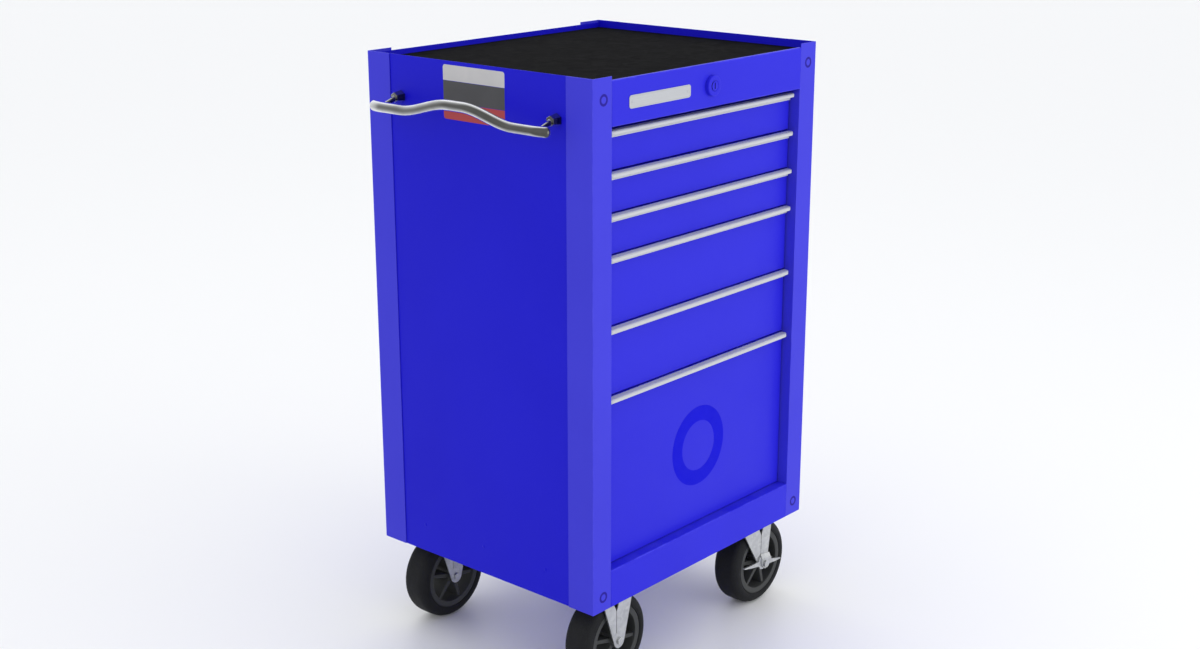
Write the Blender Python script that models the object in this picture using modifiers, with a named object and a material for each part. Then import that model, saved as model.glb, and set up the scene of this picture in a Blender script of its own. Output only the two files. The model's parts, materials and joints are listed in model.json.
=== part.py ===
"""Rolling tool chest: a sheet steel cabinet with six drawers, a lock, a side handle and four casters.

Metres, +Z up. Every piece is modelled in the chest's own frame and hangs on one empty, which
moves the origin to the middle of the floor under the whole outline. In the chest's frame
x = 0 is the middle of the cabinet, y = 0 the front of its posts and z = 0 the floor.
"""

import math

import bmesh
import bpy
from mathutils import Matrix, Vector

# Cabinet, outside sizes
WIDTH = 0.660
DEPTH = 0.558
HEIGHT = 0.980
SHEET = 0.0012
POST_SHEET = 0.0015
GAP = 0.0003

# Corner posts, rims, header and toe rail, heights above the underside of the cabinet
POST_FRONT = 0.050
POST_SIDE = 0.060
POST_RETURN = 0.040
REAR_FLANGE = 0.060
HEADER_BOTTOM = 0.893
HEADER_TOP = 0.973
BACK_TOP = 0.975
TOE_TOP = 0.073
TRAY_TOP = 0.962
TRAY_LIP = 0.012
MAT_THICK = 0.003

# Drawers: the top of each, counted from the top drawer down, and where the last one ends
DRAWER_TOPS = [0.8845, 0.8097, 0.7349, 0.6601, 0.5297, 0.3993]
LAST_BOTTOM = 0.0745
FACE_Y = 0.022
FACE_DEEP = 0.017
FACE_GAP = 0.003
BOX_DEEP = 0.460
BOX_SIDE_GAP = 0.012
BOX_RISE = 0.006
BOX_DROP = 0.012
BOX_SHEET = 0.0010
RUNNER_HIGH = 0.012

# Pulls
PULL_FRONT = 0.006
PULL_HIGH = 0.0063
PULL_WALL = 0.0022
PULL_CORNER = 0.011

# Lock and its bar
LOCK_Z = 0.9324
LOCK_X = -0.002
LOCK_PROUD = 0.0075
LOCK_RADIUS = 0.0190
BARREL_RADIUS = 0.0085
CAM_REACH = 0.007
CAM_PIN = 0.003
BAR_WIDE = 0.020
BAR_THICK = 0.003
BAR_ARM_Z = 0.9375

# Side handle
HANDLE_OUT = 0.050
HANDLE_RADIUS = 0.0100
HANDLE_HALF = 0.221
HANDLE_Y = 0.276
HANDLE_Z = 0.890
HANDLE_RISE = 0.022
BRACKET_HALF = 0.194
BRACKET_Z = 0.903

# Casters: x of the swivels' king pins and of the rigid pair's axles, and y of the front pair
SWIVEL_X = 0.2114
RIGID_X = -0.2270
CASTER_Y = 0.060
TRAIL = 0.026
AXLE_DROP = 0.0970
WHEEL_RADIUS = 0.0908
WHEEL_WIDE = 0.0597
WHEEL_SIDES = 24
SHOULDER = 0.016
RIM_RADIUS = 0.068
RIM_INSIDE = 0.056
HUB_RADIUS = 0.0150
SPOKES = 6
SPOKE_WIDE = 0.0078
SPOKE_TURN = math.radians(-12)
BASE_RISE = 0.0113
PLATE_LONG = 0.104
PLATE_WIDE = 0.096
PLATE_THICK = 0.005
RACE_HIGH = 0.0062
CROWN_THICK = 0.003
LEG_THICK = 0.003
LEG_GAP = 0.003
LEG_END = 0.0145
AXLE_RADIUS = 0.005
HEX_RADIUS = 0.0080
LEVER_TILT = math.radians(-8)
LEVER_THICK = 0.0036
SHIELD_OUT = 0.0066

# A wheel stands on one of its flats, which is nearer to the axle than its corners
UNDER = AXLE_DROP + WHEEL_RADIUS * math.cos(math.pi / WHEEL_SIDES)
TOP = UNDER + HEIGHT
HALF = WIDTH / 2
OPENING = HALF - POST_FRONT

for old in list(bpy.data.objects):
    bpy.data.objects.remove(old, do_unlink=True)


def new_collection(name):
    collection = bpy.data.collections.new(name)
    bpy.context.scene.collection.children.link(collection)
    return collection


CHEST = new_collection("rolling_tool_chest")
CUTTERS = new_collection("cutters")

ORIGIN = bpy.data.objects.new("chest_origin", None)
CHEST.objects.link(ORIGIN)
OUTLINE_LEFT = -HALF - HANDLE_OUT - HANDLE_RADIUS
ORIGIN.location = (-(OUTLINE_LEFT + HALF) / 2, -(DEPTH - LOCK_PROUD) / 2, 0)


def finish_of(name, colour, roughness, metallic=0.0):
    material = bpy.data.materials.new(name)
    material.use_nodes = True
    shader = material.node_tree.nodes["Principled BSDF"]
    shader.inputs["Base Color"].default_value = (*colour, 1)
    shader.inputs["Roughness"].default_value = roughness
    shader.inputs["Metallic"].default_value = metallic
    return material


BLUE = finish_of("blue_paint", (0.030, 0.022, 0.70), 0.30)
POST_BLUE = finish_of("post_paint", (0.065, 0.055, 0.78), 0.30)
RUBBER = finish_of("black_rubber", (0.010, 0.010, 0.010), 0.75)
PLASTIC = finish_of("dark_plastic", (0.040, 0.042, 0.044), 0.45)
PULL_METAL = finish_of("pull_aluminium", (0.50, 0.51, 0.53), 0.35, 0.8)
CHROME = finish_of("chrome", (0.80, 0.80, 0.80), 0.08, 1.0)
ZINC = finish_of("zinc_plate", (0.62, 0.63, 0.64), 0.32, 0.9)
GALVANISED = finish_of("galvanised_steel", (0.45, 0.46, 0.47), 0.45, 0.8)


# ---- shapes ---------------------------------------------------------------------------


def add_object(name, mesh, material, collection=CHEST):
    """One object on the chest's empty, in the chest's frame."""
    obj = bpy.data.objects.new(name, mesh)
    collection.objects.link(obj)
    obj.parent = ORIGIN
    if material:
        obj.data.materials.append(material)
    if collection is CUTTERS:
        obj.hide_render = True
        obj.display_type = "WIRE"
    return obj


def mesh_from(bm, name):
    """A mesh of the bmesh. A closed one is turned so that its faces point out."""
    if bm.calc_volume(signed=True) < 0:
        bmesh.ops.reverse_faces(bm, faces=bm.faces)
    mesh = bpy.data.meshes.new(name)
    bm.to_mesh(mesh)
    bm.free()
    return mesh


def bm_box(low, high):
    bm = bmesh.new()
    bmesh.ops.create_cube(bm, size=1)
    size = [b - a for a, b in zip(low, high)]
    middle = [(a + b) / 2 for a, b in zip(low, high)]
    bmesh.ops.scale(bm, vec=size, verts=bm.verts)
    bmesh.ops.translate(bm, vec=middle, verts=bm.verts)
    return bm


def box(name, low, high, material, collection=CHEST):
    return add_object(name, mesh_from(bm_box(low, high), name), material, collection)


def turned_about_y(x, y, z):
    """Places a shape built along +Z so that its axis runs along +Y from (x, y, z)."""
    return Matrix.Translation((x, y, z)) @ Matrix.Rotation(-math.pi / 2, 4, "X")


def rod(name, start, end, radius, material, collection=CHEST, sides=16, end_radius=None):
    """A cylinder or a cone from start to end."""
    start, end = Vector(start), Vector(end)
    along = end - start
    bm = bmesh.new()
    bmesh.ops.create_cone(
        bm,
        cap_ends=True,
        segments=sides,
        radius1=radius,
        radius2=radius if end_radius is None else end_radius,
        depth=along.length,
    )
    turn = along.to_track_quat("Z", "Y").to_matrix().to_4x4()
    bm.transform(Matrix.Translation((start + end) / 2) @ turn)
    return add_object(name, mesh_from(bm, name), material, collection)


def slab(name, outline, along, thickness, material, collection=CHEST):
    """A closed outline of points in one plane, extruded by thickness in the direction along."""
    bm = bmesh.new()
    bm.faces.new([bm.verts.new(point) for point in outline])
    made = bmesh.ops.extrude_face_region(bm, geom=bm.faces[:])
    moved = [part for part in made["geom"] if isinstance(part, bmesh.types.BMVert)]
    bmesh.ops.translate(bm, vec=Vector(along) * thickness, verts=moved)
    return add_object(name, mesh_from(bm, name), material, collection)


def folded_sheet(name, profile, along, length, thickness, material):
    """A sheet bent along the open profile, drawn out in the direction along, with its gauge on the inside."""
    bm = bmesh.new()
    middle = sum((Vector(point) for point in profile), Vector()) / len(profile)
    points = [bm.verts.new(point) for point in profile]
    edges = [bm.edges.new(pair) for pair in zip(points, points[1:])]
    made = bmesh.ops.extrude_edge_only(bm, edges=edges)
    moved = [part for part in made["geom"] if isinstance(part, bmesh.types.BMVert)]
    bmesh.ops.translate(bm, vec=Vector(along) * length, verts=moved)
    bm.normal_update()
    outward = [face.normal.dot(face.calc_center_median() - middle) for face in bm.faces]
    if sum(outward) < 0:
        bmesh.ops.reverse_faces(bm, faces=bm.faces)
    mesh = bpy.data.meshes.new(name)
    bm.to_mesh(mesh)
    bm.free()
    obj = add_object(name, mesh, material)
    gauge(obj, thickness)
    return obj


def gauge(obj, thickness):
    """Gives an open surface its thickness, behind its outer face."""
    solidify = obj.modifiers.new("gauge", "SOLIDIFY")
    solidify.thickness = thickness
    solidify.offset = -1
    solidify.use_even_offset = True


def open_box(name, low, high, open_side, thickness, material):
    """A box of sheet with one side left off. open_side is the direction that it faces."""
    bm = bm_box(low, high)
    facing = Vector(open_side)
    bm.faces.ensure_lookup_table()
    bm.normal_update()
    lost = [face for face in bm.faces if face.normal.dot(facing) > 0.9]
    bmesh.ops.delete(bm, geom=lost, context="FACES_ONLY")
    mesh = bpy.data.meshes.new(name)
    bm.to_mesh(mesh)
    bm.free()
    obj = add_object(name, mesh, material)
    gauge(obj, thickness)
    return obj


def boolean(obj, other, operation):
    modifier = obj.modifiers.new(other.name, "BOOLEAN")
    modifier.operation = operation
    modifier.object = other


def arc(centre, radius, start, end, steps):
    """Points of an arc in the plane of two axes, angles in degrees."""
    points = []
    for step in range(steps + 1):
        angle = math.radians(start + (end - start) * step / steps)
        points.append((centre[0] + radius * math.cos(angle), centre[1] + radius * math.sin(angle)))
    return points


def smooth(obj, degrees=35):
    obj.data.shade_smooth()
    obj.data.set_sharp_from_angle(angle=math.radians(degrees))


# ---- cabinet --------------------------------------------------------------------------


def make_side_panels():
    outer = HALF - POST_SHEET - GAP
    for side, name in ((-1, "left_side_panel"), (1, "right_side_panel")):
        x = sorted((side * outer, side * (outer - SHEET)))
        y = (POST_SHEET + GAP, DEPTH - POST_SHEET - GAP)
        box(name, (x[0], y[0], UNDER), (x[1], y[1], TOP), BLUE)


def make_front_posts():
    """Side flange, front flange and an inner return, which stops below the top tray."""
    for side, name in ((-1, "front_left_post"), (1, "front_right_post")):
        profile = [
            (side * HALF, POST_SIDE, UNDER),
            (side * HALF, 0, UNDER),
            (side * OPENING, 0, UNDER),
            (side * OPENING, POST_RETURN, UNDER),
        ]
        post = folded_sheet(name, profile, (0, 0, 1), HEIGHT, POST_SHEET, POST_BLUE)
        clear = UNDER + TRAY_TOP - SHEET - TRAY_LIP - GAP
        x = sorted((side * (OPENING - 0.01), side * (OPENING + 0.01)))
        low, high = (x[0], POST_SHEET, clear), (x[1], POST_RETURN + 0.01, TOP + 0.01)
        boolean(post, box(name + "_notch", low, high, None, CUTTERS), "DIFFERENCE")


def make_rear_posts():
    for side, name in ((-1, "rear_left_post"), (1, "rear_right_post")):
        profile = [
            (side * (HALF - REAR_FLANGE), DEPTH, UNDER),
            (side * HALF, DEPTH, UNDER),
            (side * HALF, DEPTH - POST_SIDE, UNDER),
        ]
        folded_sheet(name, profile, (0, 0, 1), HEIGHT, POST_SHEET, POST_BLUE)


def make_header():
    """The fixed panel above the drawers, with a hole for the lock's barrel."""
    bottom, top = UNDER + HEADER_BOTTOM, UNDER + HEADER_TOP
    left = -OPENING + GAP
    profile = [(left, 0.020, bottom), (left, 0, bottom), (left, 0, top), (left, 0.006, top)]
    header = folded_sheet("header_panel", profile, (1, 0, 0), -2 * left, SHEET, BLUE)
    lock_z = UNDER + LOCK_Z
    hole = rod(
        "barrel_hole",
        (LOCK_X, -0.01, lock_z),
        (LOCK_X, 0.01, lock_z),
        BARREL_RADIUS + 0.0015,
        None,
        CUTTERS,
        24,
    )
    boolean(header, hole, "DIFFERENCE")


def make_toe_rail():
    """A web below the drawers with a ledge along its top."""
    top = UNDER + TOE_TOP
    left = -OPENING + GAP
    profile = [(left, 0, UNDER), (left, 0, top), (left, 0.026, top), (left, 0.026, top - 0.012)]
    folded_sheet("toe_rail", profile, (1, 0, 0), -2 * left, SHEET, BLUE)


def make_shell_inside():
    inner = HALF - POST_SHEET - SHEET - 2 * GAP
    back_outer = DEPTH - POST_SHEET - GAP
    back_low = (-inner, back_outer - SHEET, UNDER)
    box("back_panel", back_low, (inner, back_outer, UNDER + BACK_TOP), BLUE)
    back_inner = back_outer - SHEET - GAP
    seat = UNDER + BASE_RISE
    floor_low = (-inner, POST_RETURN + GAP, seat)
    floor_high = (inner, back_inner, UNDER + 0.050)
    pan = open_box("base_pan", floor_low, floor_high, (0, 0, 1), POST_SHEET, BLUE)
    tongue_half = OPENING - GAP
    tongue_high = (tongue_half, POST_RETURN + 0.010, seat + POST_SHEET)
    tongue = box("pan_tongue", (-tongue_half, SHEET + GAP, seat), tongue_high, None, CUTTERS)
    boolean(pan, tongue, "UNION")
    tray_top = UNDER + TRAY_TOP
    front = 0.0065
    profile = [
        (-inner, front, tray_top - TRAY_LIP),
        (-inner, front, tray_top),
        (-inner, back_inner, tray_top),
        (-inner, back_inner, tray_top - TRAY_LIP),
    ]
    folded_sheet("top_tray", profile, (1, 0, 0), 2 * inner, SHEET, BLUE)
    mat_low = (-inner + 0.001, front + 0.001, tray_top + GAP)
    mat_high = (inner - 0.001, back_inner - 0.001, tray_top + GAP + MAT_THICK)
    box("top_mat", mat_low, mat_high, RUBBER)


# ---- slides and drawers ---------------------------------------------------------------


def drawer_levels():
    """(underside of the face, top of the face) of each drawer, above the floor."""
    bottoms = [top + FACE_GAP for top in DRAWER_TOPS[1:]] + [LAST_BOTTOM]
    return [(UNDER + bottom, UNDER + top) for bottom, top in zip(bottoms, DRAWER_TOPS)]


def runner_level(bottom, top):
    """Lowest edge of the runners, a third of the way down a drawer's side."""
    box_low, box_high = bottom + BOX_RISE, top - BOX_DROP
    return box_high - (box_high - box_low) * 0.35 - RUNNER_HIGH / 2


RUNNER_OUT = OPENING - 0.0015
RACK_FACE = OPENING + 0.0005
LIP_REACH = 0.010


def make_slide_racks():
    """A wall of channels on each side: two lips hold each drawer's runner, and flanges meet the side panel."""
    wall = 0.002
    clear = 0.001
    outer = HALF - POST_SHEET - SHEET - 2 * GAP
    for side, name in ((-1, "left_slide_rack"), (1, "right_slide_rack")):
        low, high = UNDER + 0.055, UNDER + 0.890
        outline = [(outer, low), (RACK_FACE, low)]
        for bottom, top in reversed(drawer_levels()):
            runner = runner_level(bottom, top)
            for lip in (runner - clear - wall, runner + RUNNER_HIGH + clear):
                outline += [
                    (RACK_FACE, lip),
                    (RACK_FACE - LIP_REACH, lip),
                    (RACK_FACE - LIP_REACH, lip + wall),
                    (RACK_FACE, lip + wall),
                ]
        outline += [(RACK_FACE, high), (outer, high), (outer, high - wall)]
        outline += [(RACK_FACE + wall, high - wall), (RACK_FACE + wall, low + wall), (outer, low + wall)]
        start = POST_RETURN + 0.004
        points = [(side * x, start, z) for x, z in outline]
        slab(name, points, (0, 1, 0), BOX_DEEP + 0.012, GALVANISED)


def make_drawer(number, bottom, top):
    half = OPENING - 0.0025
    face_low, face_high = (-half, FACE_Y, bottom), (half, FACE_Y + FACE_DEEP, top)
    open_box(f"drawer_{number}_front", face_low, face_high, (0, 1, 0), SHEET, BLUE)

    box_half = OPENING - BOX_SIDE_GAP
    box_y = FACE_Y + FACE_DEEP + GAP
    box_end = box_y + BOX_DEEP
    low = (-box_half, box_y, bottom + BOX_RISE)
    high = (box_half, box_end, top - BOX_DROP)
    name = f"drawer_{number}_box"
    drawer = open_box(name, low, high, (0, 0, 1), BOX_SHEET, BLUE)
    runner = runner_level(bottom, top)
    for side in (-1, 1):
        x = sorted((side * (box_half - 0.0005), side * RUNNER_OUT))
        runner_low = (x[0], box_y + 0.010, runner)
        runner_high = (x[1], box_end - 0.004, runner + RUNNER_HIGH)
        rail = box(f"{name}_runner_{side}", runner_low, runner_high, None, CUTTERS)
        boolean(drawer, rail, "UNION")
    catch = slab(f"{name}_catch", catch_outline(box_end, top), (1, 0, 0), 0.016, None, CUTTERS)
    boolean(drawer, catch, "UNION")
    make_pull(number, top)


def catch_outline(box_end, top):
    """The hooked lug on a drawer's back, which the lock bar's prong rises behind."""
    high = top - BOX_DROP - 0.008
    x = LOCK_X - 0.008
    inside = box_end - 0.0005
    points = [
        (inside, high),
        (box_end + 0.012, high),
        (box_end + 0.012, high - 0.011),
        (box_end + 0.010, high - 0.011),
        (box_end + 0.010, high - 0.002),
        (inside, high - 0.002),
    ]
    return [(x, y, z) for y, z in points]


def make_pull(number, top):
    """A full-width extrusion: flat ledge, rounded nose, finger groove behind a lip."""
    front, back = PULL_FRONT, FACE_Y - GAP
    low = top - PULL_HIGH
    nose = arc((front + 0.0045, top - 0.0045), 0.0045, 90, 180, 4)
    lip = [(front, low), (front + PULL_WALL, low), (front + PULL_WALL, top - 0.0045)]
    inner = [(front + 0.0045, top - PULL_WALL), (back - 0.002, top - PULL_WALL)]
    leg = [(back - 0.002, top - 0.014), (back, top - 0.014), (back, top)]
    profile = nose + lip + inner + leg
    half = OPENING - 0.003
    name = f"drawer_{number}_pull"
    points = [(-half, y, z) for y, z in profile]
    pull = slab(name, points, (1, 0, 0), 2 * half, PULL_METAL)
    boolean(pull, pull_ends(name, half, front, low), "INTERSECT")


def pull_ends(name, half, front, low):
    """Plan of a pull: its two front corners are round."""
    corner = PULL_CORNER
    right = arc((half - corner, front + corner), corner, -90, 0, 5)
    left = arc((-half + corner, front + corner), corner, 180, 270, 5)
    plan = left + right + [(half, FACE_Y + 0.01), (-half, FACE_Y + 0.01)]
    points = [(x, y, low - 0.02) for x, y in plan]
    return slab(f"{name}_plan", points, (0, 0, 1), 0.04, None, CUTTERS)


# ---- lock -----------------------------------------------------------------------------


def make_lock():
    z = UNDER + LOCK_Z
    bezel = rod(
        "lock_bezel",
        (LOCK_X, -GAP, z),
        (LOCK_X, -LOCK_PROUD, z),
        LOCK_RADIUS,
        BLUE,
        CHEST,
        32,
        LOCK_RADIUS - 0.0015,
    )
    bore = rod(
        "bezel_bore",
        (LOCK_X, 0.01, z),
        (LOCK_X, -0.02, z),
        BARREL_RADIUS + GAP,
        None,
        CUTTERS,
        24,
    )
    boolean(bezel, bore, "DIFFERENCE")
    barrel_end = 0.0345
    barrel = rod(
        "lock_cylinder",
        (LOCK_X, -LOCK_PROUD, z),
        (LOCK_X, barrel_end, z),
        BARREL_RADIUS,
        CHROME,
        CHEST,
        24,
    )
    cam_profile = arc((LOCK_X + CAM_REACH, z), 0.0045, -90, 90, 6) + arc((LOCK_X, z), 0.006, 90, 270, 8)
    points = [(x, barrel_end - 0.0005, height) for x, height in cam_profile]
    boolean(barrel, slab("cam_plate", points, (0, 1, 0), 0.0035, None, CUTTERS), "UNION")
    pin_start = (LOCK_X + CAM_REACH, barrel_end + 0.001, z)
    pin_end = (LOCK_X + CAM_REACH, barrel_end + 0.022, z)
    boolean(barrel, rod("cam_pin", pin_start, pin_end, CAM_PIN, None, CUTTERS, 12), "UNION")
    slot_low = (LOCK_X - 0.0012, -LOCK_PROUD - 0.01, z - 0.0058)
    slot_high = (LOCK_X + 0.0012, -LOCK_PROUD + 0.012, z + 0.0058)
    boolean(barrel, box("key_slot", slot_low, slot_high, None, CUTTERS), "DIFFERENCE")
    for piece in (bezel, barrel):
        smooth(piece)
    make_lock_bar(barrel_end)


def make_lock_bar(barrel_end):
    """An arm that rests on the cam's pin, a leg behind the drawers, and a prong for each drawer."""
    arm_low = UNDER + BAR_ARM_Z
    arm_front = barrel_end + 0.005
    box_end = FACE_Y + FACE_DEEP + GAP + BOX_DEEP
    leg_front = box_end + 0.019
    outline = [(arm_front, arm_low), (leg_front, arm_low)]
    for bottom, top in drawer_levels():
        tip = top - BOX_DROP - 0.008 - 0.011 - 0.002
        foot = tip - 0.0105
        outline += [
            (leg_front, foot + 0.003),
            (box_end + 0.0055, foot + 0.003),
            (box_end + 0.0055, tip),
            (box_end + 0.0030, tip),
            (box_end + 0.0030, foot),
            (leg_front, foot),
        ]
    leg_low = UNDER + DRAWER_TOPS[-1] - 0.060
    outline += [(leg_front, leg_low), (leg_front + BAR_THICK, leg_low)]
    outline += [(leg_front + BAR_THICK, arm_low + BAR_THICK), (arm_front, arm_low + BAR_THICK)]
    points = [(LOCK_X - BAR_WIDE / 2, y, z) for y, z in outline]
    slab("lock_bar", points, (1, 0, 0), BAR_WIDE, GALVANISED)


# ---- handle ---------------------------------------------------------------------------


def ease(value):
    value = min(max(value, 0.0), 1.0)
    return value * value * (3 - 2 * value)


def handle_point(along):
    """Middle of the tube at a distance along from its centre: flat ends, a raised middle, tips turned in."""
    rise = HANDLE_RISE * (1 - ease((abs(along) - 0.018) / 0.122))
    turn_in = 0.012 * ease((abs(along) - 0.190) / 0.062)
    return (-HALF - HANDLE_OUT + turn_in, HANDLE_Y + along, UNDER + HANDLE_Z + rise)


def make_handle():
    curve = bpy.data.curves.new("handle_tube", "CURVE")
    curve.dimensions = "3D"
    curve.bevel_depth = HANDLE_RADIUS
    curve.bevel_resolution = 2
    curve.use_fill_caps = True
    count = 27
    spline = curve.splines.new("POLY")
    spline.points.add(count - 1)
    for index, point in enumerate(spline.points):
        along = -HANDLE_HALF + 2 * HANDLE_HALF * index / (count - 1)
        point.co = (*handle_point(along), 1)
    add_object("handle_tube", curve, CHROME)
    for side, name in ((-1, "handle_bracket_front"), (1, "handle_bracket_rear")):
        make_handle_bracket(name, side * BRACKET_HALF)


def make_handle_bracket(name, along):
    """A hexagonal boss on the side panel and an arm that slopes down to the tube."""
    y = HANDLE_Y + along
    panel = -HALF + POST_SHEET
    boss_z = UNDER + BRACKET_Z
    tube = Vector(handle_point(along))
    boss = rod(name, (panel, y, boss_z), (panel - 0.018, y, boss_z), 0.0125, CHROME, CHEST, 6, 0.0095)
    arm_start = Vector((panel - 0.010, y, boss_z))
    reach = (tube - arm_start).length - HANDLE_RADIUS - GAP
    arm_end = arm_start + (tube - arm_start).normalized() * reach
    arm = rod(name + "_arm", arm_start, arm_end, 0.0060, None, CUTTERS, 10, 0.0045)
    boolean(boss, arm, "UNION")


# ---- casters --------------------------------------------------------------------------


def tyre_profile():
    """(radius, place along the axle) round the tyre's section, from its inner edge over the tread."""
    half, bead = WHEEL_WIDE / 2, RIM_RADIUS + GAP
    near = arc((WHEEL_RADIUS - SHOULDER, half - SHOULDER), SHOULDER, 90, 0, 4)
    far = [(radius, -along) for radius, along in reversed(near)]
    return [(bead, half)] + near + far + [(bead, -half)]


def ring(name, profile, x, y, z, material, collection=CHEST, sides=WHEEL_SIDES):
    """A closed profile of (radius, place along the axle) turned about the axle, a flat of it down."""
    bm = bmesh.new()
    points = [bm.verts.new((radius, 0, along)) for radius, along in profile]
    edges = [bm.edges.new(pair) for pair in zip(points, points[1:] + points[:1])]
    bmesh.ops.spin(
        bm,
        geom=points + edges,
        cent=(0, 0, 0),
        axis=(0, 0, 1),
        dvec=(0, 0, 0),
        angle=2 * math.pi,
        steps=sides,
        use_merge=True,
    )
    half_step = Matrix.Rotation(math.pi / sides, 4, "Z")
    bm.transform(turned_about_y(x, y, z) @ half_step)
    obj = add_object(name, mesh_from(bm, name), material, collection)
    smooth(obj)
    return obj


def make_wheel(label, x, y, z):
    """Tyre, and a core of barrel, spokes and rim."""
    ring(f"{label}_tyre", tyre_profile(), x, y, z, RUBBER)
    core = f"{label}_wheel_core"
    half = WHEEL_WIDE / 2
    rim_face = half - 0.0015
    rim = [(RIM_RADIUS, rim_face), (RIM_INSIDE, rim_face), (RIM_INSIDE, -rim_face), (RIM_RADIUS, -rim_face)]
    wheel = ring(core, rim, x, y, z, PLASTIC)
    bore, hub_end = AXLE_RADIUS + GAP, half + 0.001
    hub = [(HUB_RADIUS, hub_end), (bore, hub_end), (bore, -hub_end), (HUB_RADIUS, -hub_end)]
    boolean(wheel, ring(f"{core}_hub", hub, x, y, z, None, CUTTERS, 16), "UNION")
    spoke_low = (HUB_RADIUS - 0.002, -SPOKE_WIDE / 2, -rim_face + 0.003)
    spoke_high = (RIM_INSIDE + 0.002, SPOKE_WIDE / 2, rim_face - 0.003)
    for index in range(SPOKES):
        angle = SPOKE_TURN + 2 * math.pi * index / SPOKES
        spoke = bm_box(spoke_low, spoke_high)
        spoke.transform(turned_about_y(x, y, z) @ Matrix.Rotation(-angle, 4, "Z"))
        name = f"{core}_spoke_{index}"
        boolean(wheel, add_object(name, mesh_from(spoke, name), None, CUTTERS), "UNION")


def add_legs(frame, label, x, y, z, top_x, top_half, top_z):
    """Two tapered legs, round at the axle, each with a pressed notch and the axle's hole."""
    inner = WHEEL_WIDE / 2 + LEG_GAP
    end = arc((x, z), LEG_END, 190, 350, 8)
    outline = [(top_x + top_half, top_z), (top_x - top_half, top_z)] + end
    for name, start in (("near", y - inner - LEG_THICK), ("far", y + inner)):
        points = [(px, start, pz) for px, pz in outline]
        boolean(frame, slab(f"{label}_{name}_leg", points, (0, 1, 0), LEG_THICK, None, CUTTERS), "UNION")
    outer = inner + LEG_THICK + 0.01
    hole = rod(f"{label}_hole", (x, y - outer, z), (x, y + outer, z), AXLE_RADIUS + GAP, None, CUTTERS)
    boolean(frame, hole, "DIFFERENCE")
    slot_x, slot_half = x - 0.008, 0.0007
    notch_z = UNDER - 0.033
    notch = [
        (slot_x - 0.0140, UNDER - 0.006),
        (slot_x - 0.0030, notch_z + 0.006),
        (slot_x - slot_half, notch_z),
        (slot_x - slot_half, z + 0.018),
        (slot_x + slot_half, z + 0.018),
        (slot_x + slot_half, notch_z),
        (slot_x + 0.0030, notch_z + 0.006),
        (slot_x + 0.0110, UNDER - 0.006),
    ]
    points = [(px, y - outer, pz) for px, pz in notch]
    boolean(frame, slab(f"{label}_notch", points, (0, 1, 0), 2 * outer, None, CUTTERS), "DIFFERENCE")


def make_axle(label, x, y, z, lever_room):
    """The axle bolt, with its head outside the near leg or the brake lever and its nut on the far leg."""
    outer = WHEEL_WIDE / 2 + LEG_GAP + LEG_THICK + GAP
    front, back = y - outer - lever_room, y + outer
    axle = rod(f"{label}_axle", (x, front - 0.001, z), (x, back + 0.009, z), AXLE_RADIUS, ZINC, CHEST, 12)
    head = rod(f"{label}_axle_head", (x, front - 0.004, z), (x, front, z), HEX_RADIUS, None, CUTTERS, 6)
    nut = rod(f"{label}_axle_nut", (x, back, z), (x, back + 0.007, z), HEX_RADIUS, None, CUTTERS, 6)
    boolean(axle, head, "UNION")
    boolean(axle, nut, "UNION")


def make_brake_lever(label, x, y, z):
    """Two pedals on a plate against the near leg, and a shield plate in front, joined by a sloping web."""
    back = y - WHEEL_WIDE / 2 - LEG_GAP - LEG_THICK - GAP
    front = back - SHIELD_OUT
    turn = Matrix.Translation((x, 0, z)) @ Matrix.Rotation(-LEVER_TILT, 4, "Y")

    def plate(name, outline, start, thickness, collection=CUTTERS):
        points = [turn @ Vector((px, start, pz)) for px, pz in outline]
        material = ZINC if collection is CHEST else None
        return slab(name, points, (0, 1, 0), thickness, material, collection)

    pedals = [(-0.070, -0.0012), (-0.045, -0.0032), (-0.020, -0.0040), (-0.0115, -0.0095)]
    pedals += [(0.0115, -0.0095), (0.020, -0.0040), (0.040, -0.0032), (0.059, -0.0012)]
    pedals += [(0.059, 0.0012), (0.040, 0.0032), (0.0205, 0.0060), (0.0185, 0.0150)]
    pedals += [(-0.018, 0.0150), (-0.020, 0.0060), (-0.045, 0.0032), (-0.070, 0.0012)]
    shield = [(-0.0130, 0.0120), (-0.0130, 0.0020), (-0.0090, -0.0055), (0.0010, -0.0112)]
    shield += [(0.0190, 0.0005), (0.0195, 0.0120)]
    lever = plate(f"{label}_brake_lever", pedals, back - LEVER_THICK, LEVER_THICK, CHEST)
    boolean(lever, plate(f"{label}_shield", shield, front, LEVER_THICK - 0.0006), "UNION")
    web_front, web_back = front + 0.0004, back - 0.0004
    web = [(web_front, 0.0082), (web_front, 0.0116), (web_back, 0.0205), (web_back, 0.0082)]
    points = [turn @ Vector((-0.0125, py, pz)) for py, pz in web]
    along = turn.to_3x3() @ Vector((1, 0, 0))
    boolean(lever, slab(f"{label}_web", points, along, 0.0306, None, CUTTERS), "UNION")
    bore = AXLE_RADIUS + GAP
    hole = rod(f"{label}_lever_hole", (x, front - 0.01, z), (x, back + 0.01, z), bore, None, CUTTERS)
    boolean(lever, hole, "DIFFERENCE")


def mounting_plate(name, x, y):
    """A caster's top plate under the base pan, and the level of its underside."""
    top = UNDER + BASE_RISE - GAP
    low = (x - PLATE_LONG / 2, y - PLATE_WIDE / 2, top - PLATE_THICK)
    high = (x + PLATE_LONG / 2, y + PLATE_WIDE / 2, top)
    return box(name, low, high, ZINC), top - PLATE_THICK


def make_rigid_caster(label, x, y):
    z = UNDER - AXLE_DROP
    frame, plate_low = mounting_plate(f"{label}_frame", x, y)
    add_legs(frame, label, x, y, z, x - 0.004, 0.046, plate_low + 0.001)
    make_wheel(label, x, y, z)
    make_axle(label, x, y, z, 0)


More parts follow.
